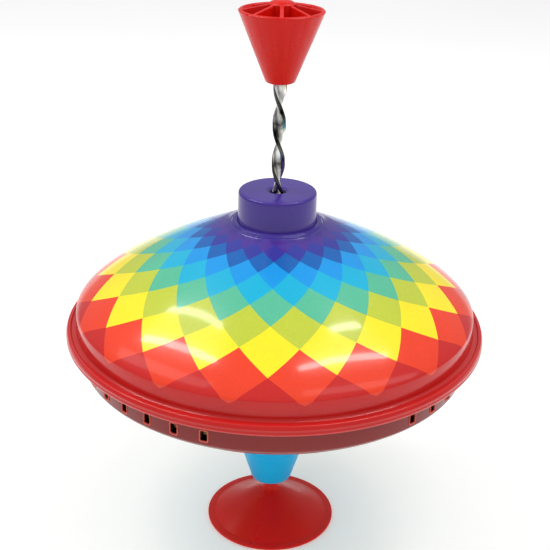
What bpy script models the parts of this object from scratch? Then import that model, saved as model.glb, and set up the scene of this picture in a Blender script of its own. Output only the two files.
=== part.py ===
"""Pump-handled humming top on its own foot, as separate pieces.

The top stands on the plane z = 0 with its spin axis on the world Z axis.
All pieces are made in world space, in metres; sizes below are in millimetres times MM.
"""

import math

import bmesh
import bpy
from mathutils import Matrix, Vector

MM = 0.001

# ---- Clearances ----------------------------------------------------------------------------------
SEAT_GAP = 0.3 * MM         # between pieces that touch or are pressed together
RUN_GAP = 0.4 * MM          # between pieces that slide or turn past each other

# ---- Tinplate body -------------------------------------------------------------------------------
SHEET = 0.5 * MM            # thickness of the tinplate
RIM_RADIUS = 95.0 * MM      # outside of the rolled seam between the two shells
SEAM_HEIGHT = 4.0 * MM      # height of the rolled seam
HEM_WIDTH = 4.0 * MM        # how far the upper shell is folded back under the seam
UPPER_LEDGE = 5.0 * MM          # from the rim in to the upper shell's wall
LOWER_LEDGE = 7.0 * MM          # from the rim in to the lower shell's wall
UPPER_WALL_HEIGHT = 10.5 * MM   # from the middle of the seam to the shoulder
DOME_RISE = 40.5 * MM           # from the shoulder to the embossed ring
DOME_POWER = 0.77               # 1 would be a plain cone, less is fuller at the shoulder
LOWER_WALL_HEIGHT = 13.0 * MM   # from the middle of the seam to the corner
BELLY_DEPTH = 27.0 * MM         # from that corner down to the flat that carries the hub
BELLY_POWER = 0.68
COVE_RADIUS = 2.0 * MM          # cove between a wall and its flange

# ---- Sound slots and reeds -----------------------------------------------------------------------
SLOT_GROUPS = 3
SLOTS_PER_GROUP = 8
SLOT_PITCH = math.radians(8.75)
SLOT_START = math.radians(70.85)    # first slot of the first group, from +X towards +Y
SLOT_WIDTH = 3.5 * MM
SLOT_HEIGHT = 5.2 * MM
SLOT_DROP = 9.3 * MM                # from the middle of the seam to the middle of a slot
REED_PLATE_THICK = 0.5 * MM
REED_PLATE_HEIGHT = 9.4 * MM
REED_PLATE_DROP = 3.5 * MM           # from the middle of a slot to the plate's lower edge
REED_WINDOW_WIDTH = 2.4 * MM
REED_WINDOW_HEIGHT = 4.6 * MM
REED_THICK = 0.3 * MM
REED_WIDTH = 1.9 * MM
REED_SPINE_HEIGHT = 2.6 * MM
REED_LENGTH = 5.6 * MM              # free length of the first tongue
REED_STEP = 0.28 * MM               # each next tongue is this much shorter
REED_END_ANGLE = math.radians(8.5)  # plate beyond its last slot, where the rivet sits
RIVET_ANGLE = math.radians(5.6)     # rivet beyond the last slot
RIVET_RADIUS = 0.7 * MM
RIVET_HEAD_RADIUS = 1.4 * MM
RIVET_HEAD_HEIGHT = 0.8 * MM

# ---- Tower: cap, clutch and lock ring ------------------------------------------------------------
CAP_RADIUS = 17.1 * MM
CAP_HEIGHT = 16.7 * MM
CAP_WALL = 1.5 * MM
CAP_TOP_THICK = 2.0 * MM
CAP_EDGE = 1.2 * MM             # rounding of the cap's top edge
RECESS_DEPTH = 3.0 * MM         # of the pressed seat that the cap stands in
RECESS_CLEAR = 0.5 * MM         # around the cap's foot
CREST_WIDTH = 1.4 * MM          # of the embossed ring around the recess
SEAT_THICK = 1.7 * MM
TOOTH_COUNT = 12
TOOTH_HEIGHT = 1.2 * MM
TOOTH_BAND_WIDTH = 4.5 * MM
TOOTH_OUTER_RADIUS = 11.0 * MM
NUT_LIFT = 0.5 * MM             # free height between the two rings of teeth
NUT_THICK = 3.6 * MM
NUT_BOSS_WALL = 2.4 * MM
COLLAR_WALL = 1.5 * MM          # of the clutch seat's collar around the guide tube
COLLAR_LENGTH = 8.5 * MM
COLLAR_SOCKET = 4.5 * MM        # depth that the guide tube enters the collar
LOCK_RING_WIDTH = 4.5 * MM
LOCK_RING_THICK = 1.2 * MM

# ---- Pump spindle --------------------------------------------------------------------------------
ROD_WIDTH = 5.8 * MM
ROD_THICK = 2.3 * MM
ROD_EDGE = 0.6 * MM             # corner chamfer of the strip
ROD_LEAD = 34.4 * MM            # height of one whole turn, left-handed
ROD_TURN_STEPS = 20             # sections in one whole turn
ROD_EDGE_ON_HEIGHT = 209.35 * MM    # height where the strip's width lies along Y
ROD_EXPOSED = 48.1 * MM         # bare rod between cap and handle, pulled up
SLIDER_HEIGHT = 6.0 * MM
SLIDER_RADIUS = 5.7 * MM
SLIDER_PIN_RADIUS = 0.6 * MM
SLIDER_PIN_LENGTH = 9.0 * MM
ROD_TAIL = 2.6 * MM             # rod below the cross pin
TUBE_WALL = 0.8 * MM

# ---- Handle --------------------------------------------------------------------------------------
HANDLE_HEIGHT = 30.2 * MM
HANDLE_TOP_RADIUS = 18.0 * MM
HANDLE_BOTTOM_RADIUS = 6.2 * MM
HANDLE_WALL = 1.6 * MM
HANDLE_EDGE = 1.0 * MM          # rounding of the bottom edge
HANDLE_BOSS_RADIUS = 5.6 * MM
HANDLE_BOSS_RISE = 4.0 * MM     # of the boss above the rim
HANDLE_RIBS = 8
HANDLE_RIB_THICK = 1.6 * MM
POCKET_DEPTH = 20.0 * MM
ROD_IN_HANDLE = 17.0 * MM

# ---- Hub and pivot -------------------------------------------------------------------------------
HUB_CLEAR_HEIGHT = 22.5 * MM    # of the hub above the table
HUB_HEIGHT = 44.0 * MM
HUB_TOP_RADIUS = 23.0 * MM
HUB_BOTTOM_RADIUS = 9.5 * MM
HUB_WALL = 1.8 * MM
HUB_EDGE = 1.2 * MM
HUB_GROOVE = 1.2 * MM           # width of the hollow around the post, at its floor
HUB_MOUTH_DEPTH = 4.5 * MM
HUB_MOUTH_RADIUS = 4.4 * MM
POST_WALL = 3.4 * MM            # around the guide tube's socket
POST_RISE = 9.5 * MM            # of the post above the hub's top
BEARING_RADIUS = 6.0 * MM       # bore of the hub for the bush and the thrust cup
BEARING_DEPTH = 27.0 * MM
BUSH_HEIGHT = 8.0 * MM
CUP_HEIGHT = 10.2 * MM
CUP_BLIND_DEPTH = 6.5 * MM
PIN_RADIUS = 1.5 * MM
PIN_TIP = 0.9 * MM              # height of the pin's rounded tip
GROOVE_DEPTH = 0.5 * MM
GROOVE_HEIGHT = 1.4 * MM
GROOVE_LIFT = 0.5 * MM          # groove above the bush
CLIP_THICK = 0.7 * MM
CLIP_RADIUS = 3.4 * MM
CLIP_MOUTH = 1.4 * MM

# ---- Foot ----------------------------------------------------------------------------------------
FOOT_RADIUS = 31.0 * MM
FOOT_LIP_WIDTH = 3.6 * MM
FOOT_LIP_THICK = 1.3 * MM
FOOT_BEARING_WIDTH = 4.0 * MM   # flat ring that rests on the table
FOOT_CONE_HEIGHT = 14.2 * MM    # from the lip to the neck
FOOT_WALL = 2.4 * MM
FOOT_HOLLOW_HEIGHT = 10.0 * MM
NECK_RADIUS = 3.0 * MM
NECK_ENTRY = 2.0 * MM           # how far the neck stands inside the hub's mouth
PIN_FLOOR = 1.7 * MM            # material under the pin in the foot

# ---- Roundness -----------------------------------------------------------------------------------
SHELL_SIDES = 40
BODY_SIDES = 32
SMALL_SIDES = 20
TINY_SIDES = 10
REED_PLATE_STEPS = 16       # straight pieces along a reed plate
CROWN_STEPS = 7             # straight pieces that make up a shell's curve

# ---- Radii and heights that follow from the sizes above ------------------------------------------
UPPER_WALL_RADIUS = RIM_RADIUS - UPPER_LEDGE
LOWER_WALL_RADIUS = RIM_RADIUS - LOWER_LEDGE
HUB_TOP_Z = HUB_CLEAR_HEIGHT + HUB_HEIGHT
CORNER_Z = HUB_TOP_Z + BELLY_DEPTH
SEAM_Z = CORNER_Z + LOWER_WALL_HEIGHT
SHOULDER_Z = SEAM_Z + UPPER_WALL_HEIGHT
CREST_Z = SHOULDER_Z + DOME_RISE
RECESS_Z = CREST_Z - RECESS_DEPTH
CAP_BASE_Z = RECESS_Z + SEAT_GAP
CAP_TOP_Z = RECESS_Z + CAP_HEIGHT
HANDLE_Z = CAP_TOP_Z + ROD_EXPOSED
HANDLE_RIM_Z = HANDLE_Z + HANDLE_HEIGHT
SLOT_Z = SEAM_Z - SLOT_DROP

TUBE_INNER = SLIDER_RADIUS + RUN_GAP
TUBE_OUTER = TUBE_INNER + TUBE_WALL
SOCKET_RADIUS = TUBE_OUTER + SEAT_GAP
COLLAR_RADIUS = SOCKET_RADIUS + COLLAR_WALL
SEAT_Z = RECESS_Z + SEAT_GAP
COLLAR_BOTTOM_Z = SEAT_Z - COLLAR_LENGTH
LIP_Z = COLLAR_BOTTOM_Z + COLLAR_SOCKET
POST_RADIUS = SOCKET_RADIUS + POST_WALL
BEARING_FLOOR_Z = HUB_CLEAR_HEIGHT + HUB_MOUTH_DEPTH
BEARING_TOP_Z = BEARING_FLOOR_Z + BEARING_DEPTH
BUSH_Z = BEARING_FLOOR_Z + SEAT_GAP
CUP_TOP_Z = BEARING_TOP_Z - SEAT_GAP
PIN_TOP_Z = CUP_TOP_Z - CUP_HEIGHT + CUP_BLIND_DEPTH - SEAT_GAP
GROOVE_Z = BUSH_Z + BUSH_HEIGHT + GROOVE_LIFT
SLIDER_Z = LIP_Z - RUN_GAP - SLIDER_HEIGHT
SLIDER_PIN_Z = SLIDER_Z - SEAT_GAP - SLIDER_PIN_RADIUS
ROD_BOTTOM_Z = SLIDER_PIN_Z - ROD_TAIL
ROD_TOP_Z = HANDLE_Z + ROD_IN_HANDLE
ROD_REACH = math.hypot(ROD_WIDTH / 2, ROD_THICK / 2)    # furthest point of the strip from its axis
ROD_HOLE_RADIUS = ROD_REACH + RUN_GAP

# ---- Finishes: colour, roughness, metallic -------------------------------------------------------
FINISHES = {
    "red_plastic": ((0.62, 0.02, 0.015), 0.28, 0.0),
    "purple_plastic": ((0.055, 0.035, 0.26), 0.30, 0.0),
    "blue_plastic": ((0.0, 0.36, 0.68), 0.30, 0.0),
    "white_plastic": ((0.78, 0.78, 0.74), 0.40, 0.0),
    "printed_tin_upper": ((0.85, 0.32, 0.04), 0.22, 0.0),
    "printed_tin_lower": ((0.60, 0.05, 0.03), 0.22, 0.0),
    "bright_steel": ((0.55, 0.54, 0.52), 0.25, 1.0),
    "dull_steel": ((0.42, 0.42, 0.42), 0.45, 1.0),
    "brass": ((0.72, 0.50, 0.18), 0.32, 1.0),
}


def clear_scene():
    """Remove whatever objects the file holds."""
    for item in list(bpy.data.objects):
        bpy.data.objects.remove(item, do_unlink=True)


def finish(name):
    """Return the material of a finish, made on first use."""
    material = bpy.data.materials.get(name)
    if material is None:
        colour, roughness, metallic = FINISHES[name]
        material = bpy.data.materials.new(name)
        material.use_nodes = True
        shader = material.node_tree.nodes["Principled BSDF"]
        shader.inputs["Base Color"].default_value = (*colour, 1.0)
        shader.inputs["Roughness"].default_value = roughness
        shader.inputs["Metallic"].default_value = metallic
        material.diffuse_color = (*colour, 1.0)
    return material


def add_piece(name, mesh_maker, finish_name, matrix=None):
    """Turn a bmesh into a named, smooth-shaded object with its own finish."""
    bmesh.ops.remove_doubles(mesh_maker, verts=mesh_maker.verts, dist=1e-6)
    bmesh.ops.recalc_face_normals(mesh_maker, faces=mesh_maker.faces)
    mesh = bpy.data.meshes.new(name)
    mesh_maker.to_mesh(mesh)
    mesh_maker.free()
    mesh.shade_smooth()
    mesh.set_sharp_from_angle(angle=math.radians(35))
    piece = bpy.data.objects.new(name, mesh)
    if finish_name:
        mesh.materials.append(finish(finish_name))
    if matrix is not None:
        piece.matrix_world = matrix
    bpy.context.scene.collection.objects.link(piece)
    return piece


def turned(name, outline, sides, finish_name, matrix=None):
    """Spin a closed (radius, height) outline once around the Z axis."""
    maker = bmesh.new()
    ring = [maker.verts.new((radius, 0.0, height)) for radius, height in outline]
    edges = [maker.edges.new((a, b)) for a, b in zip(ring, ring[1:])]
    if outline[0][0] > 0.0 or outline[-1][0] > 0.0:
        edges.append(maker.edges.new((ring[-1], ring[0])))
    bmesh.ops.spin(
        maker, geom=ring + edges, cent=(0, 0, 0), axis=(0, 0, 1),
        angle=math.tau, steps=sides, use_merge=True)
    return add_piece(name, maker, finish_name, matrix)


def lofted(name, sections, finish_name, closed=False):
    """Skin a row of equally long closed loops of points, with end faces unless closed."""
    maker = bmesh.new()
    loops = [[maker.verts.new(point) for point in section] for section in sections]
    pairs = list(zip(loops, loops[1:]))
    if closed:
        pairs.append((loops[-1], loops[0]))
    for low, high in pairs:
        for index in range(len(low)):
            after = (index + 1) % len(low)
            maker.faces.new((low[index], low[after], high[after], high[index]))
    if not closed:
        maker.faces.new(loops[0])
        maker.faces.new(loops[-1])
    return add_piece(name, maker, finish_name)


def cut(piece, cutter):
    """Subtract a cutter from a piece, and keep the cutter out of the build."""
    cutter.hide_render = True
    cutter.display_type = "WIRE"
    boolean = piece.modifiers.new("cut_" + cutter.name, "BOOLEAN")
    boolean.operation = "DIFFERENCE"
    boolean.solver = "EXACT"
    boolean.object = cutter


def joined_boxes(name, placements, size):
    """One cutter made of equal boxes, each placed by its own matrix."""
    maker = bmesh.new()
    for placement in placements:
        bmesh.ops.create_cube(maker, size=1.0, matrix=placement @ Matrix.Diagonal((*size, 1.0)))
    return add_piece(name, maker, None)


def polar(radius, angle, height):
    """A point at a radius and an angle around the Z axis."""
    return Vector((radius * math.cos(angle), radius * math.sin(angle), height))


def arc(centre, radius, start_deg, end_deg, steps):
    """Points (radius, height) along an arc in the profile plane."""
    points = []
    for step in range(steps + 1):
        angle = math.radians(start_deg + (end_deg - start_deg) * step / steps)
        points.append((centre[0] + radius * math.cos(angle), centre[1] + radius * math.sin(angle)))
    return points


def sheet_outline(path, side):
    """Close an open path into a sheet of constant thickness; side is +1 for the left of it."""
    inner = []
    last = len(path) - 1
    for index, (radius, height) in enumerate(path):
        normals = []
        for start, end in ((index - 1, index), (index, index + 1)):
            if start < 0 or end > last:
                continue
            along = Vector(path[end]) - Vector(path[start])
            along.normalize()
            normals.append(Vector((-along.y, along.x)) * side)
        mitre = sum(normals, Vector((0.0, 0.0))).normalized()
        reach = SHEET / max(mitre.dot(normals[0]), 0.5)
        inner.append((radius + mitre.x * reach, height + mitre.y * reach))
    return path + inner[::-1]


def crown_path(inner_radius, outer_radius, base_z, rise, power, steps):
    """Outline of a shell's sloping part, from its inner edge out to its wall."""
    points = []
    for step in range(steps + 1):
        share = 1.0 - (1.0 - step / steps) ** 1.5
        radius = inner_radius + (outer_radius - inner_radius) * share
        points.append((radius, base_z + rise * (1.0 - share) ** power))
    return points


def slot_angles(group):
    """Angles of one group's slots."""
    start = SLOT_START + group * math.tau / SLOT_GROUPS
    return [start + index * SLOT_PITCH for index in range(SLOTS_PER_GROUP)]


# ---- The two shells ------------------------------------------------------------------------------

def make_upper_shell():
    """Printed dome with the cap's recess, the wall and the seam folded round the lower flange."""
    seam_top = SEAM_Z + SEAM_HEIGHT / 2
    seam_bottom = SEAM_Z - SEAM_HEIGHT / 2
    recess_radius = CAP_RADIUS + RECESS_CLEAR
    crest_radius = recess_radius + CREST_WIDTH
    bend = SHEET
    path = [(COLLAR_RADIUS + SEAT_GAP, RECESS_Z), (recess_radius, RECESS_Z)]
    path.append((recess_radius + CREST_WIDTH / 2, CREST_Z - SHEET / 2))
    path += crown_path(crest_radius, UPPER_WALL_RADIUS, SHOULDER_Z, DOME_RISE, DOME_POWER, CROWN_STEPS)
    path += arc((UPPER_WALL_RADIUS + COVE_RADIUS, seam_top + COVE_RADIUS), COVE_RADIUS, 180, 270, 2)
    path += [(RIM_RADIUS - bend, seam_top), (RIM_RADIUS, seam_top - bend)]
    path += [(RIM_RADIUS, seam_bottom + bend), (RIM_RADIUS - bend, seam_bottom)]
    path.append((RIM_RADIUS - HEM_WIDTH, seam_bottom))
    return turned("upper_shell", sheet_outline(path, -1), SHELL_SIDES, "printed_tin_upper")


def make_lower_shell():
    """Belly, slotted wall and the flange that the upper shell grips."""
    flange_bottom = SEAM_Z - SEAM_HEIGHT / 2 + SHEET + SEAT_GAP
    flange_top = SEAM_Z + SEAM_HEIGHT / 2 - SHEET - SEAT_GAP
    flange_radius = RIM_RADIUS - SHEET - SEAT_GAP
    path = [(POST_RADIUS + SEAT_GAP, HUB_TOP_Z)]
    belly = crown_path(HUB_TOP_RADIUS, LOWER_WALL_RADIUS, -CORNER_Z, BELLY_DEPTH, BELLY_POWER, CROWN_STEPS)
    path += [(radius, -height) for radius, height in belly]
    path += arc((LOWER_WALL_RADIUS + COVE_RADIUS, flange_bottom - COVE_RADIUS), COVE_RADIUS, 180, 90, 2)
    path += [(flange_radius, flange_bottom), (flange_radius, flange_top)]
    path.append((RIM_RADIUS - HEM_WIDTH, flange_top))
    shell = turned("lower_shell", sheet_outline(path, 1), SHELL_SIDES, "printed_tin_lower")
    places = []
    for group in range(SLOT_GROUPS):
        for angle in slot_angles(group):
            turn = Matrix.Rotation(angle, 4, "Z")
            places.append(turn @ Matrix.Translation((LOWER_WALL_RADIUS, 0.0, SLOT_Z)))
    cutter = joined_boxes("slot_cutter", places, (6 * COVE_RADIUS, SLOT_WIDTH, SLOT_HEIGHT))
    cut(shell, cutter)
    return shell


# ---- Reeds behind the slots ----------------------------------------------------------------------

def curved_strip(name, inner, outer, stations, finish_name):
    """A strip bent round the Z axis; each station is (angle, bottom, top)."""
    sections = []
    for angle, bottom, top in stations:
        corners = ((inner, bottom), (outer, bottom), (outer, top), (inner, top))
        sections.append([polar(radius, angle, height) for radius, height in corners])
    return lofted(name, sections, finish_name)


def make_reeds(group):
    """Reed plate, comb of brass tongues and the two rivets of one group of slots."""
    label = str(group + 1)
    angles = slot_angles(group)
    plate_outer = LOWER_WALL_RADIUS - SHEET - SEAT_GAP - 0.2 * MM
    plate_inner = plate_outer - REED_PLATE_THICK
    comb_outer = plate_inner - SEAT_GAP
    comb_inner = comb_outer - REED_THICK
    plate_bottom = SLOT_Z - REED_PLATE_DROP
    plate_top = plate_bottom + REED_PLATE_HEIGHT
    first = angles[0] - REED_END_ANGLE
    last = angles[-1] + REED_END_ANGLE
    stations = []
    for step in range(REED_PLATE_STEPS + 1):
        stations.append((first + (last - first) * step / REED_PLATE_STEPS, plate_bottom, plate_top))
    plate = curved_strip("reed_plate_" + label, plate_inner, plate_outer, stations, "dull_steel")

    windows = []
    for angle in angles:
        turn = Matrix.Rotation(angle, 4, "Z")
        windows.append(turn @ Matrix.Translation((plate_inner, 0.0, SLOT_Z)))
    window_size = (4 * REED_PLATE_THICK, REED_WINDOW_WIDTH, REED_WINDOW_HEIGHT)
    cut(plate, joined_boxes("window_cutter_" + label, windows, window_size))

    spine_bottom = plate_top - REED_SPINE_HEIGHT
    half_angle = REED_WIDTH / 2 / comb_outer
    flank = half_angle * 0.12
    stations = [(first, spine_bottom, plate_top)]
    for index, angle in enumerate(angles):
        tip = spine_bottom - REED_LENGTH + index * REED_STEP
        stations.append((angle - half_angle - flank, spine_bottom, plate_top))
        stations.append((angle - half_angle, tip, plate_top))
        stations.append((angle + half_angle, tip, plate_top))
        stations.append((angle + half_angle + flank, spine_bottom, plate_top))
    stations.append((last, spine_bottom, plate_top))
    comb = curved_strip("reed_comb_" + label, comb_inner, comb_outer, stations, "brass")

    rivet_z = plate_top - REED_SPINE_HEIGHT / 2
    head_face = comb_inner - SEAT_GAP
    shank_end = plate_outer - 0.1 * MM
    outline = [(0.0, head_face - RIVET_HEAD_HEIGHT)]
    outline.append((RIVET_HEAD_RADIUS * 0.7, head_face - RIVET_HEAD_HEIGHT * 0.75))
    outline += [(RIVET_HEAD_RADIUS, head_face), (RIVET_RADIUS, head_face)]
    outline += [(RIVET_RADIUS, shank_end), (0.0, shank_end)]
    hole_places = []
    for side, angle in enumerate((angles[0] - RIVET_ANGLE, angles[-1] + RIVET_ANGLE)):
        outward = Matrix.Rotation(angle, 4, "Z") @ Matrix.Rotation(math.radians(90), 4, "Y")
        place = Matrix.Translation((0.0, 0.0, rivet_z)) @ outward
        turned("reed_rivet_%d" % (2 * group + side + 1), outline, TINY_SIDES, "brass", place)
        hole_places.append(place)
    maker = bmesh.new()
    for place in hole_places:
        hole = place @ Matrix.Translation((0.0, 0.0, plate_inner))
        bmesh.ops.create_cone(
            maker, cap_ends=True, segments=TINY_SIDES, radius1=RIVET_RADIUS + SEAT_GAP,
            radius2=RIVET_RADIUS + SEAT_GAP, depth=8 * REED_PLATE_THICK, matrix=hole)
    holes = add_piece("rivet_hole_cutter_" + label, maker, None)
    cut(plate, holes)
    cut(comb, holes)


# ---- Twisted spindle -----------------------------------------------------------------------------

def twist_angle(height):
    """Direction of the strip's width at a height; the twist is left-handed."""
    return math.pi / 2 - math.tau * (height - ROD_EDGE_ON_HEIGHT) / ROD_LEAD


def twisted_bar(name, bottom, top, grow, finish_name):
    """The strip's own twisted shape between two heights, grown all round by a clearance.

    The flat triangles of a twisted face lie to one side of it. The rod's lie inside the true
    face and a grown cutter's lie outside, so the clearance holds at every height.
    """
    half_width = ROD_WIDTH / 2 + grow
    half_thick = ROD_THICK / 2 + grow
    corner = ROD_EDGE
    section = [
        (half_width - corner, -half_thick), (half_width, -half_thick + corner),
        (half_width, half_thick - corner), (half_width - corner, half_thick), (0.0, half_thick),
        (-half_width + corner, half_thick), (-half_width, half_thick - corner),
        (-half_width, -half_thick + corner), (-half_width + corner, -half_thick), (0.0, -half_thick)]
    steps = max(2, math.ceil((top - bottom) / ROD_LEAD * ROD_TURN_STEPS))
    maker = bmesh.new()
    loops = []
    for step in range(steps + 1):
        height = bottom + (top - bottom) * step / steps
        turn = Matrix.Rotation(twist_angle(height), 3, "Z")
        loops.append([maker.verts.new(turn @ Vector((x, y, 0.0)) + Vector((0.0, 0.0, height)))
                      for x, y in section])
    for low, high in zip(loops, loops[1:]):
        for index in range(len(section)):
            after = (index + 1) % len(section)
            if grow > 0.0:
                maker.faces.new((low[index], low[after], high[after]))
                maker.faces.new((low[index], high[after], high[index]))
            else:
                maker.faces.new((low[index], low[after], high[index]))
                maker.faces.new((low[after], high[after], high[index]))
    maker.faces.new(loops[0])
    maker.faces.new(loops[-1])
    return add_piece(name, maker, finish_name)


def make_spindle():
    """Rod, the slider that guides its lower end and the pin that keeps the slider on."""
    rod = twisted_bar("spindle_rod", ROD_BOTTOM_Z, ROD_TOP_Z, 0.0, "bright_steel")
    across = Matrix.Rotation(twist_angle(SLIDER_PIN_Z), 4, "Z") @ Matrix.Rotation(math.radians(90), 4, "X")
    pin_place = Matrix.Translation((0.0, 0.0, SLIDER_PIN_Z)) @ across
    half = SLIDER_PIN_LENGTH / 2
    outline = [(0.0, -half), (SLIDER_PIN_RADIUS, -half), (SLIDER_PIN_RADIUS, half), (0.0, half)]
    turned("slider_pin", outline, TINY_SIDES, "dull_steel", pin_place)
    hole_radius = SLIDER_PIN_RADIUS + SEAT_GAP
    outline = [(0.0, -half), (hole_radius, -half), (hole_radius, half), (0.0, half)]
    cut(rod, turned("slider_pin_cutter", outline, TINY_SIDES, None, pin_place))

    top = SLIDER_Z + SLIDER_HEIGHT
    edge = 0.8 * MM
    outline = [(0.0, SLIDER_Z), (SLIDER_RADIUS - edge, SLIDER_Z), (SLIDER_RADIUS, SLIDER_Z + edge)]
    outline += [(SLIDER_RADIUS, top - edge), (SLIDER_RADIUS - edge, top), (0.0, top)]
    slider = turned("spindle_slider", outline, SMALL_SIDES, "white_plastic")
    cut(slider, twisted_bar("slider_slot_cutter", SLIDER_Z - 2 * MM, top + 2 * MM, SEAT_GAP, None))


# ---- Handle --------------------------------------------------------------------------------------

def make_handle():
    """Hollow cone with a boss on the rod and ribs that rise from the rim to the boss."""
    rim = HANDLE_TOP_RADIUS
    slope = (HANDLE_TOP_RADIUS - HANDLE_BOTTOM_RADIUS) / HANDLE_HEIGHT
    boss_top = HANDLE_RIM_Z + HANDLE_BOSS_RISE
    lip = HANDLE_WALL / 2
    outline = [(0.0, HANDLE_Z), (HANDLE_BOTTOM_RADIUS - HANDLE_EDGE, HANDLE_Z)]
    outline.append((HANDLE_BOTTOM_RADIUS - HANDLE_EDGE * 0.3, HANDLE_Z + HANDLE_EDGE * 0.3))
    outline.append((HANDLE_BOTTOM_RADIUS + slope * HANDLE_EDGE, HANDLE_Z + HANDLE_EDGE))
    outline += [(rim, HANDLE_RIM_Z - lip * 0.6), (rim - lip * 0.4, HANDLE_RIM_Z)]
    outline.append((rim - HANDLE_WALL, HANDLE_RIM_Z))
    outline.append((HANDLE_BOSS_RADIUS, boss_top - HANDLE_BOSS_RISE * 0.3))
    outline += [(HANDLE_BOSS_RADIUS * 0.6, boss_top - HANDLE_BOSS_RISE * 0.06), (0.0, boss_top)]
    handle = turned("handle", outline, BODY_SIDES, "red_plastic")

    floor = HANDLE_RIM_Z - POCKET_DEPTH
    roof = boss_top + 2 * MM
    half_rib = HANDLE_RIB_THICK / 2
    maker = bmesh.new()
    for pocket in range(HANDLE_RIBS):
        middle = (pocket + 0.5) * math.tau / HANDLE_RIBS
        turn = Matrix.Rotation(middle, 3, "Z")
        half_angle = math.pi / HANDLE_RIBS
        loops = []
        for height in (floor, roof):
            outer = HANDLE_BOTTOM_RADIUS + slope * (height - HANDLE_Z) - HANDLE_WALL
            loop = []
            for radius in (HANDLE_BOSS_RADIUS, outer):
                spread = half_angle - math.asin(half_rib / radius)
                angles = (-spread, 0.0, spread) if radius == HANDLE_BOSS_RADIUS else (spread, 0.0, -spread)
                loop += [turn @ polar(radius, angle, height) for angle in angles]
            loops.append([maker.verts.new(point) for point in loop])
        for index in range(6):
            after = (index + 1) % 6
            maker.faces.new((loops[0][index], loops[0][after], loops[1][after], loops[1][index]))
        maker.faces.new(loops[0])
        maker.faces.new(loops[1])
    cut(handle, add_piece("pocket_cutter", maker, None))
    socket_top = ROD_TOP_Z + SEAT_GAP
    cut(handle, twisted_bar("rod_socket_cutter", HANDLE_Z - 2 * MM, socket_top, SEAT_GAP, None))


# ---- Tower ---------------------------------------------------------------------------------------

def toothed_ring(name, inner, outer, face_z, root_z, back, finish_name):
    """A ring whose flat face at root_z carries ratchet teeth that reach face_z.

    back is the rest of the ring's outline, from the teeth's outer edge round to their inner edge.
    """
    sections = []
    pitch = math.tau / TOOTH_COUNT
    for tooth in range(TOOTH_COUNT):
        for share, reach in ((0.0, 0.02), (0.42, 0.5), (0.84, 1.0)):
            angle = (tooth + share) * pitch
            height = root_z + (face_z - root_z) * reach
            profile = [(inner, root_z), (inner, height), (outer, height), (outer, root_z)]
            sections.append([polar(radius, angle, z) for radius, z in profile + back])
    return lofted(name, sections, finish_name, closed=True)


def make_tower():
    """Cap, drive nut, clutch seat and the ring that locks the seat to the shell."""
    inner = CAP_RADIUS - CAP_WALL
    ceiling = CAP_TOP_Z - CAP_TOP_THICK
    hole = ROD_HOLE_RADIUS
    outline = [(inner, CAP_BASE_Z), (CAP_RADIUS, CAP_BASE_Z)]
    outline += arc((CAP_RADIUS - CAP_EDGE, CAP_TOP_Z - CAP_EDGE), CAP_EDGE, 0, 90, 3)
    outline += [(hole, CAP_TOP_Z), (hole, ceiling), (inner, ceiling)]
    turned("tower_cap", outline, BODY_SIDES, "purple_plastic")

    seat_top = SEAT_Z + SEAT_THICK
    seat_radius = inner - SEAT_GAP
    tooth_inner = TOOTH_OUTER_RADIUS - TOOTH_BAND_WIDTH
    back = [(seat_radius, seat_top), (seat_radius, SEAT_Z), (COLLAR_RADIUS, SEAT_Z)]
    back += [(COLLAR_RADIUS, COLLAR_BOTTOM_Z), (SOCKET_RADIUS, COLLAR_BOTTOM_Z)]
    back += [(SOCKET_RADIUS, LIP_Z), (hole, LIP_Z), (hole, seat_top)]
    toothed_ring(
        "clutch_seat", tooth_inner, TOOTH_OUTER_RADIUS, seat_top + TOOTH_HEIGHT, seat_top,
        back, "dull_steel")

    tooth_tip = seat_top + TOOTH_HEIGHT + NUT_LIFT
    nut_bottom = tooth_tip + TOOTH_HEIGHT
    nut_top = nut_bottom + NUT_THICK
    nut_radius = inner - 3 * RUN_GAP
    boss_radius = hole + NUT_BOSS_WALL
    boss_top = ceiling - RUN_GAP
    bore = 1.5 * MM
    back = [(nut_radius, nut_bottom), (nut_radius, nut_top), (boss_radius, nut_top)]
    back += [(boss_radius, boss_top), (bore, boss_top), (bore, nut_bottom)]
    nut = toothed_ring(
        "drive_nut", tooth_inner, TOOTH_OUTER_RADIUS, tooth_tip, nut_bottom, back, "white_plastic")
    cut(nut, twisted_bar("nut_slot_cutter", nut_bottom - 2 * MM, boss_top + 2 * MM, RUN_GAP, None))

    ring_top = RECESS_Z - SHEET - SEAT_GAP
    lock_ring("tower_lock_ring", COLLAR_RADIUS, ring_top - LOCK_RING_THICK)


def lock_ring(name, shaft_radius, bottom):
    """Push-on ring that holds a collar to a shell."""
    inner = shaft_radius + SEAT_GAP
    outer = inner + LOCK_RING_WIDTH
    top = bottom + LOCK_RING_THICK
    outline = [(inner, bottom), (outer, bottom), (outer, top), (inner, top)]
    turned(name, outline, SMALL_SIDES, "dull_steel")


# ---- Guide tube, hub and pivot -------------------------------------------------------------------

def make_guide_tube():
    """Tube that joins the hub to the clutch seat and guides the spindle's slider."""
    bottom = BEARING_TOP_Z + SEAT_GAP
    top = LIP_Z - SEAT_GAP
    outline = [(TUBE_INNER, bottom), (TUBE_OUTER, bottom), (TUBE_OUTER, top), (TUBE_INNER, top)]
    turned("guide_tube", outline, SMALL_SIDES, "dull_steel")


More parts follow.
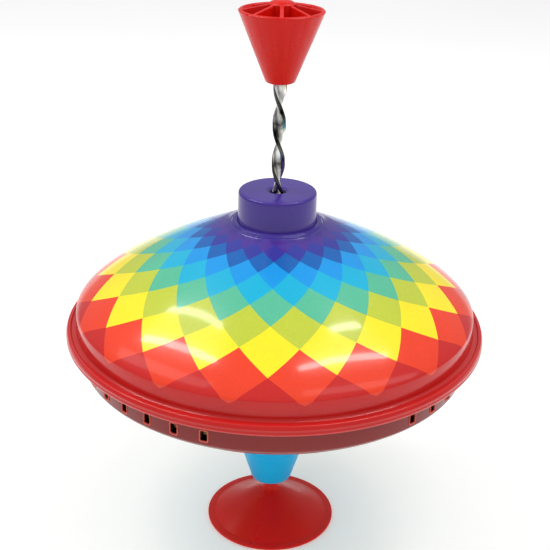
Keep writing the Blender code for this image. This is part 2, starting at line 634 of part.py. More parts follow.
def make_hub():
    """Cone below the belly, with the post that carries the pivot's bearing and the guide tube."""
    top = HUB_TOP_Z - SEAT_GAP
    post_top = HUB_TOP_Z + POST_RISE
    slope = (HUB_TOP_RADIUS - HUB_BOTTOM_RADIUS) / HUB_HEIGHT
    floor_radius = POST_RADIUS + HUB_GROOVE
    floor_z = HUB_CLEAR_HEIGHT + (floor_radius + HUB_WALL - HUB_BOTTOM_RADIUS) / slope
    bottom = HUB_CLEAR_HEIGHT
    outline = [(HUB_MOUTH_RADIUS, bottom), (HUB_BOTTOM_RADIUS - HUB_EDGE, bottom)]
    outline.append((HUB_BOTTOM_RADIUS - HUB_EDGE * 0.3, bottom + HUB_EDGE * 0.3))
    outline.append((HUB_BOTTOM_RADIUS + slope * HUB_EDGE, bottom + HUB_EDGE))
    outline += [(HUB_TOP_RADIUS - slope * SEAT_GAP, top), (HUB_TOP_RADIUS - HUB_WALL, top)]
    outline += [(floor_radius, floor_z), (POST_RADIUS, floor_z)]
    outline += [(POST_RADIUS, post_top), (SOCKET_RADIUS, post_top), (SOCKET_RADIUS, BEARING_TOP_Z)]
    outline += [(BEARING_RADIUS, BEARING_TOP_Z), (BEARING_RADIUS, BEARING_FLOOR_Z)]
    outline.append((HUB_MOUTH_RADIUS, BEARING_FLOOR_Z))
    turned("lower_hub", outline, BODY_SIDES, "blue_plastic")
    lock_ring("hub_lock_ring", POST_RADIUS, HUB_TOP_Z + SHEET + SEAT_GAP)


def make_pivot():
    """Steel pin, its bush, the clip that keeps it in and the cup that rides on its tip."""
    bore = PIN_RADIUS + RUN_GAP
    outer = BEARING_RADIUS - SEAT_GAP
    bush_top = BUSH_Z + BUSH_HEIGHT
    outline = [(bore, BUSH_Z), (outer, BUSH_Z), (outer, bush_top), (bore, bush_top)]
    turned("pivot_bush", outline, SMALL_SIDES, "brass")

    cup_bottom = CUP_TOP_Z - CUP_HEIGHT
    blind = cup_bottom + CUP_BLIND_DEPTH
    outline = [(0.0, blind + SEAT_GAP), (bore, blind - PIN_TIP), (bore, cup_bottom)]
    outline += [(outer, cup_bottom), (outer, CUP_TOP_Z), (0.0, CUP_TOP_Z)]
    turned("thrust_cup", outline, SMALL_SIDES, "dull_steel")

    pin_bottom = FOOT_HOLLOW_HEIGHT + PIN_FLOOR + SEAT_GAP
    groove_radius = PIN_RADIUS - GROOVE_DEPTH
    outline = [(0.0, pin_bottom), (PIN_RADIUS, pin_bottom), (PIN_RADIUS, GROOVE_Z)]
    outline += [(groove_radius, GROOVE_Z), (groove_radius, GROOVE_Z + GROOVE_HEIGHT)]
    outline += [(PIN_RADIUS, GROOVE_Z + GROOVE_HEIGHT), (PIN_RADIUS, PIN_TOP_Z - PIN_TIP)]
    outline += [(PIN_RADIUS * 0.6, PIN_TOP_Z - PIN_TIP * 0.3), (0.0, PIN_TOP_Z)]
    turned("pivot_pin", outline, 16, "bright_steel")

    clip_z = GROOVE_Z + (GROOVE_HEIGHT - CLIP_THICK) / 2
    clip_inner = groove_radius + SEAT_GAP
    outline = [(clip_inner, clip_z), (CLIP_RADIUS, clip_z)]
    outline += [(CLIP_RADIUS, clip_z + CLIP_THICK), (clip_inner, clip_z + CLIP_THICK)]
    clip = turned("pin_clip", outline, 16, "dull_steel")
    place = Matrix.Translation((CLIP_RADIUS, 0.0, clip_z))
    cut(clip, joined_boxes("clip_mouth_cutter", [place], (2 * CLIP_RADIUS, CLIP_MOUTH, 4 * CLIP_THICK)))


def make_foot():
    """Soft foot: a flat lip, a cone with a hollow underside and the neck around the pin."""
    cone_radius = FOOT_RADIUS - FOOT_LIP_WIDTH
    neck_z = FOOT_LIP_THICK + FOOT_CONE_HEIGHT
    slope = FOOT_CONE_HEIGHT / (cone_radius - NECK_RADIUS)
    neck_top = HUB_CLEAR_HEIGHT + NECK_ENTRY
    bearing_radius = FOOT_RADIUS - FOOT_BEARING_WIDTH
    hollow_drop = FOOT_WALL / math.cos(math.atan(slope))
    roof_radius = cone_radius - (FOOT_HOLLOW_HEIGHT + hollow_drop - FOOT_LIP_THICK) / slope
    hole = PIN_RADIUS + SEAT_GAP
    pin_floor = FOOT_HOLLOW_HEIGHT + PIN_FLOOR
    fillet = 1.6 * MM
    outline = [(0.0, FOOT_HOLLOW_HEIGHT), (roof_radius, FOOT_HOLLOW_HEIGHT), (bearing_radius, 0.0)]
    outline += [(FOOT_RADIUS - 0.3 * MM, 0.0), (FOOT_RADIUS, 0.4 * MM)]
    outline.append((FOOT_RADIUS, FOOT_LIP_THICK - 0.2 * MM))
    outline += [(FOOT_RADIUS - 0.3 * MM, FOOT_LIP_THICK), (cone_radius, FOOT_LIP_THICK + 0.2 * MM)]
    outline.append((NECK_RADIUS + fillet, neck_z - slope * fillet))
    outline += [(NECK_RADIUS, neck_z + fillet), (NECK_RADIUS, neck_top), (hole, neck_top)]
    outline += [(hole, pin_floor), (0.0, pin_floor)]
    turned("suction_foot", outline, BODY_SIDES, "red_plastic")


def main():
    """Build the whole top, from the foot up."""
    clear_scene()
    make_foot()
    make_pivot()
    make_hub()
    make_lower_shell()
    make_upper_shell()
    for group in range(SLOT_GROUPS):
        make_reeds(group)
    make_guide_tube()
    make_tower()
    make_spindle()
    make_handle()


main()
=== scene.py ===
"""Looks of a pump-handled humming top: tin shells, cap, hub, foot, twisted rod and handle."""

import logging
import math
from dataclasses import dataclass
from enum import Enum
from typing import Callable, Optional, Sequence, Union

import bmesh
import bpy
from mathutils import Matrix, Vector

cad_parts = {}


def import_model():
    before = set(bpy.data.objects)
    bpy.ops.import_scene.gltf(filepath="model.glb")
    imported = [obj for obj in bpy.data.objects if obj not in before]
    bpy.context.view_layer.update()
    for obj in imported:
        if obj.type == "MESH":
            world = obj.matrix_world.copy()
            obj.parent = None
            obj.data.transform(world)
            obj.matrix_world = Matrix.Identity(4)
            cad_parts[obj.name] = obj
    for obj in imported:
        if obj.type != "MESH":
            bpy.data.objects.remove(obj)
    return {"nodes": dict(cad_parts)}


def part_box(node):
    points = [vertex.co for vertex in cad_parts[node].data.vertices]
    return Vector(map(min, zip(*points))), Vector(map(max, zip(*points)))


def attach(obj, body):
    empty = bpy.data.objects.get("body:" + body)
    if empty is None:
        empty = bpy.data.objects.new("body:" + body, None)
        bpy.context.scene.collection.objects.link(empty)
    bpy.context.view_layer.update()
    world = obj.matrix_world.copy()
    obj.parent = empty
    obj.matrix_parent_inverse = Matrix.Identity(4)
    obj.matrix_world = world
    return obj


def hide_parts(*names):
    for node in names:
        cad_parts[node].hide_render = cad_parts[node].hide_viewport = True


LOG = logging.getLogger("humming_top")
MM = 0.001

Point = tuple[float, float]
Corner = tuple[float, float, float]
Spot = tuple[float, float, float]
Colour = tuple[float, float, float]
Stop = tuple[float, Sequence[float]]
Socket = bpy.types.NodeSocket
Material = bpy.types.Material
Piece = bpy.types.Object
Maker = bmesh.types.BMesh
Value = Union[Socket, float]


class Body(Enum):
    """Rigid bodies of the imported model."""

    FOOT = "foot"
    TOP = "top"
    PLUNGER = "plunger"


# ---- Node graphs ------------------------------------------------------------


# The display's encoding: its full value, the straight part near black, and the curve above it.
FULL = 255
STRAIGHT_BELOW = 10
STRAIGHT_SLOPE = 12.92
CURVE_OFFSET = 0.055
CURVE_POWER = 2.4
# Values between which most of a noise texture lies.
NOISE_SPAN = (0.3, 0.7)


def linear(colour: Sequence[int]) -> Colour:
    """Turn display colour values from 0 to 255 into linear light.

    Args:
        colour: red, green and blue.

    Returns:
        The same colour in linear light.
    """
    channels = []
    for channel in colour:
        level = channel / FULL
        curved = ((level + CURVE_OFFSET) / (1.0 + CURVE_OFFSET)) ** CURVE_POWER
        channels.append(curved if channel > STRAIGHT_BELOW else level / STRAIGHT_SLOPE)
    return tuple(channels)


def opaque(colour: Sequence[float]) -> tuple[float, float, float, float]:
    """Return a colour with full alpha."""
    return (*colour, 1.0)


class Graph:
    """A material's node graph, with short calls for the nodes that these finishes use."""

    def __init__(self, name: str) -> None:
        """Make an empty node material with a Principled shader.

        Args:
            name: name of the material.
        """
        self.material = bpy.data.materials.new(name)
        self.material.use_nodes = True
        self.nodes = self.material.node_tree.nodes
        self.links = self.material.node_tree.links
        self.shader = self.nodes["Principled BSDF"]

    def add(self, kind: str, **settings: object) -> bpy.types.Node:
        """Add a node.

        Args:
            kind: the node's type name.
            **settings: attributes set on the node.

        Returns:
            The new node.
        """
        node = self.nodes.new(kind)
        for key, value in settings.items():
            setattr(node, key, value)
        return node

    def feed(self, socket: Socket, value: object) -> None:
        """Link a socket into another, or set its value.

        Args:
            socket: the input to fill.
            value: an output socket, or a plain value.
        """
        if isinstance(value, Socket):
            self.links.new(value, socket)
        else:
            socket.default_value = value

    def math(self, operation: str, first: Value, second: Value = 0.0, third: Value = 0.0) -> Socket:
        """Add a Math node.

        Args:
            operation: the node's operation.
            first: first operand, a socket or a number.
            second: second operand.
            third: third operand, where the operation has one.

        Returns:
            The node's result.
        """
        node = self.add("ShaderNodeMath", operation=operation)
        for socket, value in zip(node.inputs, (first, second, third)):
            self.feed(socket, value)
        return node.outputs[0]

    def position(self) -> Socket:
        """Return the piece's own coordinates, which turn and slide with it."""
        return self.add("ShaderNodeTexCoord").outputs["Object"]

    def coordinates(self) -> tuple[Socket, Socket, Socket]:
        """Split the piece's own coordinates.

        Returns:
            Its x, y and z.
        """
        split = self.add("ShaderNodeSeparateXYZ")
        self.feed(split.inputs[0], self.position())
        return tuple(split.outputs)

    def length(self, x: Socket, y: Socket) -> Socket:
        """Return the distance from the piece's axis, from x and y."""
        squares = self.math("ADD", self.math("MULTIPLY", x, x), self.math("MULTIPLY", y, y))
        return self.math("SQRT", squares)

    def noise(self, scale: float, detail: float = 3.0, stretch: Optional[Sequence[float]] = None) -> Socket:
        """Add a noise texture on the piece's own coordinates.

        Args:
            scale: features per metre.
            detail: octaves of finer noise.
            stretch: scale along each axis, for grain.

        Returns:
            The noise value, about 0.5 on average.
        """
        texture = self.add("ShaderNodeTexNoise")
        texture.inputs["Scale"].default_value = scale
        texture.inputs["Detail"].default_value = detail
        source = self.position()
        if stretch is not None:
            mapping = self.add("ShaderNodeMapping")
            mapping.inputs["Scale"].default_value = stretch
            self.feed(mapping.inputs["Vector"], source)
            source = mapping.outputs[0]
        self.feed(texture.inputs["Vector"], source)
        return texture.outputs["Fac"]

    def map_range(self, value: Socket, source: Point, target: Point) -> Socket:
        """Map one span of values to another, and hold the result inside it.

        Args:
            value: the value to map.
            source: the two ends of the span that it comes from.
            target: what they become.

        Returns:
            The mapped value.
        """
        node = self.add("ShaderNodeMapRange", clamp=True)
        self.feed(node.inputs["Value"], value)
        for name, number in zip(("From Min", "From Max", "To Min", "To Max"), (*source, *target)):
            node.inputs[name].default_value = number
        return node.outputs[0]

    def between(self, value: Socket, low: float, high: float) -> Socket:
        """Spread a noise value, from low where it is weak to high where it is strong."""
        return self.map_range(value, NOISE_SPAN, (low, high))

    def mix(self, factor: Value, first: object, second: object, blend: str = "MIX") -> Socket:
        """Mix two colours.

        Args:
            factor: share of the second colour.
            first: colour or socket.
            second: colour or socket.
            blend: blend type.

        Returns:
            The mixed colour.
        """
        node = self.add("ShaderNodeMix", data_type="RGBA", blend_type=blend)
        self.feed(node.inputs[0], factor)
        for socket, value in ((node.inputs[6], first), (node.inputs[7], second)):
            self.feed(socket, opaque(value) if isinstance(value, tuple) else value)
        return node.outputs[2]

    def grey(self, level: Socket) -> Socket:
        """Turn a level into a grey.

        Args:
            level: how light the grey is.

        Returns:
            The colour.
        """
        node = self.add("ShaderNodeCombineColor")
        for socket in node.inputs:
            self.feed(socket, level)
        return node.outputs[0]

    def ramp(self, value: Socket, colours: Sequence[Stop], interpolation: str = "LINEAR") -> Socket:
        """Look a value up in a row of colours.

        Args:
            value: the value, from 0 to 1.
            colours: position and linear colour of each stop, in rising order.
            interpolation: how the ramp goes from stop to stop.

        Returns:
            The colour.
        """
        node = self.add("ShaderNodeValToRGB")
        node.color_ramp.interpolation = interpolation
        stops = node.color_ramp.elements
        ready = len(stops)
        for index, (position, colour) in enumerate(colours):
            stop = stops[index] if index < ready else stops.new(position)
            stop.position = position
            stop.color = opaque(colour)
        self.feed(node.inputs[0], value)
        return node.outputs[0]

    def bump(self, height: Socket, strength: float, distance: float) -> None:
        """Drive the shader's normal from a height.

        Args:
            height: the height value.
            strength: share of the bump that shows.
            distance: real height of one unit, in metres.
        """
        node = self.add("ShaderNodeBump")
        node.inputs["Strength"].default_value = strength
        node.inputs["Distance"].default_value = distance
        self.feed(node.inputs["Height"], height)
        self.links.new(node.outputs[0], self.shader.inputs["Normal"])


# ---- Finishes ---------------------------------------------------------------


@dataclass(frozen=True)
class Plastic:
    """Glossy moulded plastic with faint flow marks and handling smudges."""

    name: str
    colour: Sequence[int]
    shade: Sequence[int]
    roughness: float = 0.24
    glow: float = 0.0
    shine: float = 0.22

    def make(self) -> Material:
        """Build the material.

        Returns:
            The finished material.
        """
        graph = Graph(self.name)
        drift = graph.between(graph.noise(scale=45.0, detail=2.0), low=0.0, high=1.0)
        flow_marks = graph.noise(scale=110.0, detail=2.0, stretch=(1.0, 1.0, 0.3))
        flow = graph.between(flow_marks, low=0.0, high=0.4)
        blend = graph.math("MULTIPLY_ADD", drift, 0.6, flow)
        colour = graph.mix(blend, linear(self.colour), linear(self.shade))
        graph.feed(graph.shader.inputs["Base Color"], colour)
        smudges = graph.noise(scale=90.0, detail=5.0)
        rough = graph.between(smudges, low=self.roughness * 0.85, high=self.roughness * 1.35)
        graph.feed(graph.shader.inputs["Roughness"], rough)
        graph.shader.inputs["Subsurface Weight"].default_value = self.glow
        graph.shader.inputs["Subsurface Radius"].default_value = (4.0 * MM, 2.0 * MM, 2.0 * MM)
        graph.shader.inputs["Specular IOR Level"].default_value = self.shine
        graph.bump(graph.noise(scale=900.0, detail=3.0), strength=0.10, distance=0.03 * MM)
        return graph.material


@dataclass(frozen=True)
class Metal:
    """Drawn or rolled metal with fine lines along one axis and darker stains."""

    name: str
    colour: Colour
    stain: Colour
    roughness: float = 0.2
    grain: Sequence[float] = (1.0, 1.0, 0.06)

    def make(self) -> Material:
        """Build the material.

        Returns:
            The finished material.
        """
        graph = Graph(self.name)
        lines = graph.noise(scale=2600.0, detail=3.0, stretch=self.grain)
        cloud = graph.between(graph.noise(scale=180.0, detail=4.0), low=0.0, high=0.7)
        graph.feed(graph.shader.inputs["Base Color"], graph.mix(cloud, self.colour, self.stain))
        rough = graph.between(lines, low=self.roughness * 0.7, high=self.roughness * 1.5)
        graph.feed(graph.shader.inputs["Roughness"], rough)
        graph.shader.inputs["Metallic"].default_value = 1.0
        graph.bump(lines, strength=0.18, distance=0.02 * MM)
        return graph.material


@dataclass(frozen=True)
class Varnish:
    """Clear varnish over the print of the two tin shells."""

    roughness: float = 0.19
    specular: float = 0.2
    coat: float = 0.3
    coat_roughness: float = 0.06
    peel_share: float = 0.06

    def dress(self, graph: Graph, colour: Socket) -> None:
        """Lay a colour under the varnish.

        Args:
            graph: the material's graph.
            colour: the printed colour.
        """
        speck = graph.between(graph.noise(scale=700.0, detail=5.0), low=0.965, high=1.03)
        cloud = graph.between(graph.noise(scale=30.0, detail=2.0), low=0.97, high=1.02)
        shade = graph.grey(graph.math("MULTIPLY", speck, cloud))
        graph.feed(graph.shader.inputs["Base Color"], graph.mix(1.0, colour, shade, "MULTIPLY"))
        wear = graph.noise(scale=60.0, detail=6.0)
        rough = graph.between(wear, low=self.roughness * 0.9, high=self.roughness * 1.25)
        graph.feed(graph.shader.inputs["Roughness"], rough)
        graph.shader.inputs["Specular IOR Level"].default_value = self.specular
        graph.shader.inputs["Coat Weight"].default_value = self.coat
        graph.shader.inputs["Coat Roughness"].default_value = self.coat_roughness
        waves = graph.noise(scale=55.0, detail=2.0)
        orange_peel = graph.noise(scale=850.0, detail=2.0)
        height = graph.math("MULTIPLY_ADD", orange_peel, self.peel_share, waves)
        graph.bump(height, strength=0.10, distance=0.3 * MM)


# Display colours of the printed lozenges, from the wall in to the cap.
ROW_COLOURS: tuple[Sequence[int], ...] = (
    (196, 30, 28), (196, 30, 28), (198, 32, 29), (234, 62, 32), (250, 228, 34), (188, 200, 58),
    (84, 184, 148), (0, 172, 210), (0, 146, 222), (0, 92, 172), (46, 52, 150), (70, 46, 142), (60, 44, 136),
    (60, 46, 136), (58, 44, 134))
# Row number of the first of those colours.
FIRST_ROW = -4
# Millimetres from the axis to the lozenges' tips, along the radius and then down the wall.
TIP_DISTANCES: tuple[float, ...] = (
    114.0, 106.5, 99.0, 91.8, 83.1, 72.6, 63.3, 54.3, 46.4, 39.0, 33.3, 28.4, 24.2, 20.6, 17.0)
# Row number at the outermost of those tips.
FIRST_TIP = -3
# Display colours of the belly, each with its share of the way from the hub to the wall.
BELLY_COLOURS: tuple[tuple[float, Sequence[int]], ...] = (
    (0.0, (20, 80, 160)), (0.22, (0, 136, 186)), (0.42, (90, 160, 110)), (0.66, (180, 170, 64)),
    (0.88, (134, 120, 58)), (0.96, (150, 66, 34)), (0.995, (128, 20, 13)))


@dataclass(frozen=True)
class LozengePrint:
    """Rainbow of lozenges between two families of spirals, printed on the dome and varnished."""

    name: str
    shoulder_z: float
    columns: int = 19
    turn_deg: float = 1.5
    varnish: Varnish = Varnish()

    def make(self) -> Material:
        """Build the material.

        Returns:
            The finished material.
        """
        graph = Graph(self.name)
        x, y, z = graph.coordinates()
        radius = graph.length(x, y)
        drop = graph.math("MAXIMUM", graph.math("SUBTRACT", self.shoulder_z, z), 0.0)
        distance = graph.math("ADD", radius, drop)
        row = self.row_number(graph, distance)
        angle = graph.math("ARCTAN2", x, graph.math("MULTIPLY", y, -1.0))
        turned = graph.math("ADD", angle, math.radians(self.turn_deg))
        column = graph.math("MULTIPLY", turned, self.columns / math.tau)
        half_row = graph.math("MULTIPLY", row, 0.5)
        rising = graph.math("FLOOR", graph.math("SUBTRACT", graph.math("ADD", half_row, column), 0.5))
        falling = graph.math("FLOOR", graph.math("SUBTRACT", graph.math("SUBTRACT", half_row, column), 0.5))
        lozenge_row = graph.math("ADD", rising, falling)
        self.varnish.dress(graph, self.row_colour(graph, lozenge_row))
        return graph.material

    def row_number(self, graph: Graph, distance: Socket) -> Socket:
        """Turn the distance from the axis into a count of lozenge tips passed on the way in.

        Args:
            graph: the material's graph.
            distance: distance from the axis, along the radius and down the wall.

        Returns:
            The count, with whole numbers at the tips.
        """
        row: Value = float(FIRST_TIP)
        for outer, inner in zip(TIP_DISTANCES, TIP_DISTANCES[1:]):
            step = graph.map_range(distance, (inner * MM, outer * MM), (1.0, 0.0))
            row = graph.math("ADD", step, row)
        return row

    def row_colour(self, graph: Graph, row: Socket) -> Socket:
        """Look up the printed colour of a row of lozenges.

        Args:
            graph: the material's graph.
            row: number of the row.

        Returns:
            The colour.
        """
        count = len(ROW_COLOURS)
        middle_of_row = graph.math("ADD", row, 0.5 - FIRST_ROW)
        share = graph.math("MULTIPLY", middle_of_row, 1.0 / count)
        colours = [(index / count, linear(colour)) for index, colour in enumerate(ROW_COLOURS)]
        return graph.ramp(share, colours, "CONSTANT")


@dataclass(frozen=True)
class BellyPrint:
    """Red print of the lower shell, fading to orange, olive and blue towards the hub."""

    name: str
    wall_radius: float
    hub_radius: float
    varnish: Varnish = Varnish()

    def make(self) -> Material:
        """Build the material.

        Returns:
            The finished material.
        """
        graph = Graph(self.name)
        x, y, _ = graph.coordinates()
        share = graph.map_range(graph.length(x, y), (self.hub_radius, self.wall_radius), (0.0, 1.0))
        colours = [(position, linear(colour)) for position, colour in BELLY_COLOURS]
        self.varnish.dress(graph, graph.ramp(share, colours))
        return graph.material


@dataclass(frozen=True)
class TwistedSteel:
    """Rod steel: mid-grey faces, painted highlights along the arrises, painted shade along the edges, and
    oil stains that also paint reflection patches.
    """

    name: str
    width: float
    lead: float
    edge_on_z: float
    # Share of the half width, and how bright the steel is painted there: painted highlights on the arrises,
    # painted shade on the edges.
    painted_light_bands: Sequence[Point] = (
        (0.0, 0.42), (0.5, 0.5), (0.72, 0.95), (0.80, 0.7), (0.87, 0.10), (1.0, 0.06))
    tone: Colour = (1.0, 0.985, 0.94)

    def make(self) -> Material:
        """Build the material.

        Returns:
            The finished material.
        """
        graph = Graph(self.name)
        x, y, z = graph.coordinates()
        turn = math.tau / self.lead
        angle = graph.math("MULTIPLY_ADD", z, -turn, math.pi / 2 + turn * self.edge_on_z)
        along_x = graph.math("MULTIPLY", x, graph.math("COSINE", angle))
        along_y = graph.math("MULTIPLY", y, graph.math("SINE", angle))
        across = graph.math("ABSOLUTE", graph.math("ADD", along_x, along_y))
        share = graph.math("MULTIPLY", across, 2.0 / self.width)
        # Painted highlights and painted shade across the strip's width, turning with the twist.
        levels = [(position, [level * part for part in self.tone]) for position, level in self.painted_light_bands]
        steel = graph.ramp(share, levels)
        # Oil stains, plus bright and dark patches that paint reflections on the faces.
        oil_and_sheen = graph.noise(scale=210.0, detail=4.0, stretch=(1.0, 1.0, 0.8))
        shade = graph.grey(graph.between(oil_and_sheen, low=0.02, high=1.5))
        graph.feed(graph.shader.inputs["Base Color"], graph.mix(1.0, steel, shade, "MULTIPLY"))
        rough = graph.between(graph.noise(scale=700.0, detail=3.0), low=0.10, high=0.24)
        graph.feed(graph.shader.inputs["Roughness"], rough)
        graph.shader.inputs["Metallic"].default_value = 1.0
        scratches = graph.noise(scale=2400.0, detail=3.0, stretch=(1.0, 1.0, 0.08))
        graph.bump(scratches, strength=0.15, distance=0.02 * MM)
        return graph.material


RED_HANDLE = Plastic("handle_red_plastic", (212, 18, 8), (202, 15, 7), roughness=0.26, glow=0.04)
RED_FOOT = Plastic("foot_red_plastic", (232, 26, 16), (222, 22, 14), roughness=0.30, glow=0.04)
PURPLE_CAP = Plastic(
    "cap_purple_plastic", (66, 42, 140), (60, 38, 132), roughness=0.17, glow=0.02, shine=0.40)
BLUE_HUB = Plastic("hub_blue_plastic", (0, 184, 240), (0, 176, 232), roughness=0.30, glow=0.06)
# Pale salmon, much lighter than the belly print: a painted highlight on the slot lips.
LIP_PAINTED_HIGHLIGHT = Plastic("slot_lip_painted_highlight", (226, 104, 88), (212, 84, 70), roughness=0.2)
WHITE_INNER = Plastic(
    "inner_white_plastic", (226, 226, 218), (206, 206, 196), roughness=0.45, glow=0.02)
PLAIN_STEEL = Metal(
    "inner_plain_steel", (0.40, 0.40, 0.41), (0.25, 0.24, 0.23), roughness=0.38, grain=(1.0, 0.2, 0.2))
DARK_STEEL = Metal(
    "reed_dark_steel", (0.05, 0.05, 0.055), (0.02, 0.02, 0.02), roughness=0.5, grain=(1.0, 0.2, 0.2))
# Brass darkened as painted shade, so the combs behind the slots look dark.
BRASS = Metal(
    "brass_painted_shade", (0.20, 0.135, 0.055), (0.10, 0.07, 0.03), roughness=0.45, grain=(0.2, 0.2, 1.0))


# ---- Mesh making ------------------------------------------------------------


# Edges sharper than this stay crisp.
SHARP_DEG = 38.0
# Points closer than this are one point.
MERGE = 0.001 * MM


def set_at(radius: float, height: float, corners: Sequence[Corner]) -> list[Corner]:
    """Set a small profile, given in millimetres, at a radius and a height in metres."""
    return [(radius + out * MM, height + up * MM, rounding * MM) for out, up, rounding in corners]


def round_corners(corners: Sequence[Corner], steps: int = 5) -> list[Point]:
    """Round the corners of an open path.

    Args:
        corners: radius, height and corner rounding of each corner.
        steps: pieces in each rounding.

    Returns:
        The path's points.
    """
    points: list[Point] = []
    last = len(corners) - 1
    for index, (x, z, rounding) in enumerate(corners):
        if rounding <= 0.0 or index in (0, last):
            points.append((x, z))
            continue
        here = Vector((x, z))
        before = (Vector(corners[index - 1][:2]) - here).normalized()
        after = (Vector(corners[index + 1][:2]) - here).normalized()
        half = before.angle(after) / 2
        reach = rounding / math.tan(half)
        start = here + before * reach
        end = here + after * reach
        for step in range(steps + 1):
            t = step / steps
            curve = start * (1 - t) ** 2 + here * 2 * t * (1 - t) + end * t ** 2
            points.append((curve.x, curve.y))
    return points


def offset_path(path: Sequence[Point], thickness: float) -> list[Point]:
    """Shift a path sideways, to its left, by a thickness.

    Args:
        path: the points.
        thickness: distance to shift, negative for the right.

    Returns:
        The shifted points.
    """
    shifted: list[Point] = []
    last = len(path) - 1
    for index, point in enumerate(path):
        start = Vector(path[max(index - 1, 0)])
        end = Vector(path[min(index + 1, last)])
        along = (end - start).normalized()
        shifted.append((point[0] - along.y * thickness, point[1] + along.x * thickness))
    return shifted


def piece_from(name: str, maker: Maker, finish: Material,
               sharp_deg: float = SHARP_DEG) -> Piece:
    """Turn a bmesh into a smooth-shaded piece.

    Args:
        name: the piece's name.
        maker: the mesh, which is freed.
        finish: its material.
        sharp_deg: edges sharper than this stay crisp.

    Returns:
        The piece.
    """
    bmesh.ops.remove_doubles(maker, verts=maker.verts, dist=MERGE)
    bmesh.ops.recalc_face_normals(maker, faces=maker.faces)
    mesh = bpy.data.meshes.new(name)
    maker.to_mesh(mesh)
    maker.free()
    mesh.materials.append(finish)
    mesh.shade_smooth()
    mesh.set_sharp_from_angle(angle=math.radians(sharp_deg))
    piece = bpy.data.objects.new(name, mesh)
    bpy.context.scene.collection.objects.link(piece)
    return piece


def round_axis(radius: float, turn: float, height: float) -> Vector:
    """Return the point at a radius, an angle and a height."""
    return Vector((radius * math.cos(turn), radius * math.sin(turn), height))


def turned_piece(name: str, outline: Sequence[Point], sides: int,
                 finish: Material) -> Piece:
    """Make a piece by spinning a closed outline round the Z axis.

    Args:
        name: the piece's name.
        outline: radius and height of each point; an outline that ends on the axis is closed there.
        sides: facets round the axis.
        finish: its material.

    Returns:
        The piece.
    """
    maker = bmesh.new()
    ring = [maker.verts.new((radius, 0.0, height)) for radius, height in outline]
    edges = [maker.edges.new(pair) for pair in zip(ring, ring[1:])]
    if outline[0][0] > 0.0 or outline[-1][0] > 0.0:
        edges.append(maker.edges.new((ring[-1], ring[0])))
    bmesh.ops.spin(maker, geom=ring + edges, cent=(0, 0, 0), axis=(0, 0, 1),
                   angle=math.tau, steps=sides, use_merge=True)
    return piece_from(name, maker, finish)


def skin(maker: Maker, sections: Sequence[Sequence[Vector]],
         loop_closed: bool, row_closed: bool) -> list[list[bmesh.types.BMVert]]:
    """Skin rows of points with quads.

    Args:
        maker: the mesh to add to.
        sections: rows of equally many points.
        loop_closed: whether each row closes on itself.
        row_closed: whether the last row joins the first.

    Returns:
        The rows of new vertices.
    """
    rows = [[maker.verts.new(point) for point in section] for section in sections]
    pairs = list(zip(rows, rows[1:]))
    if row_closed:
        pairs.append((rows[-1], rows[0]))
    for low, high in pairs:
        count = len(low)
        for index in range(count if loop_closed else count - 1):
            after = (index + 1) % count
            maker.faces.new((low[index], low[after], high[after], high[index]))
    return rows


def place(piece: Piece, body: Body, slot: str, *nodes: str) -> None:
    """Let a piece ride on a body and stand for CAD nodes, which it hides.

    Args:
        piece: the piece.
        body: the body that it moves with.
        slot: the record's material slot; not used.
        *nodes: CAD nodes that it stands for.
    """
    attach(piece, body.value)
    if nodes:
        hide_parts(*nodes)
    LOG.info("%s on %s, %d faces", piece.name, body.value, len(piece.data.polygons))


# ---- Tin body ---------------------------------------------------------------


# Small pressed profiles: millimetres outwards, upwards and of rounding.
CREST_RING: tuple[Corner, ...] = (
    (0.7, 0.0, 0.6), (1.4, -1.0, 0.25), (2.2, -1.1, 0.3), (3.0, -1.75, 0.0))
ROLLED_SEAM: tuple[Corner, ...] = (
    (-2.5, 1.9, 0.35), (-2.1, 2.6, 0.3), (-0.7, 2.5, 0.8), (0.0, 0.9, 0.8), (-0.25, -0.1, 0.5),
    (0.0, -1.0, 0.6), (-0.5, -2.0, 0.5), (-4.0, -1.9, 0.3), (-4.2, -1.5, 0.0))
SEAM_INSIDE: tuple[Corner, ...] = ((-0.6, 1.4, 0.3), (-0.6, -1.4, 0.3), (-4.1, -1.4, 0.0))


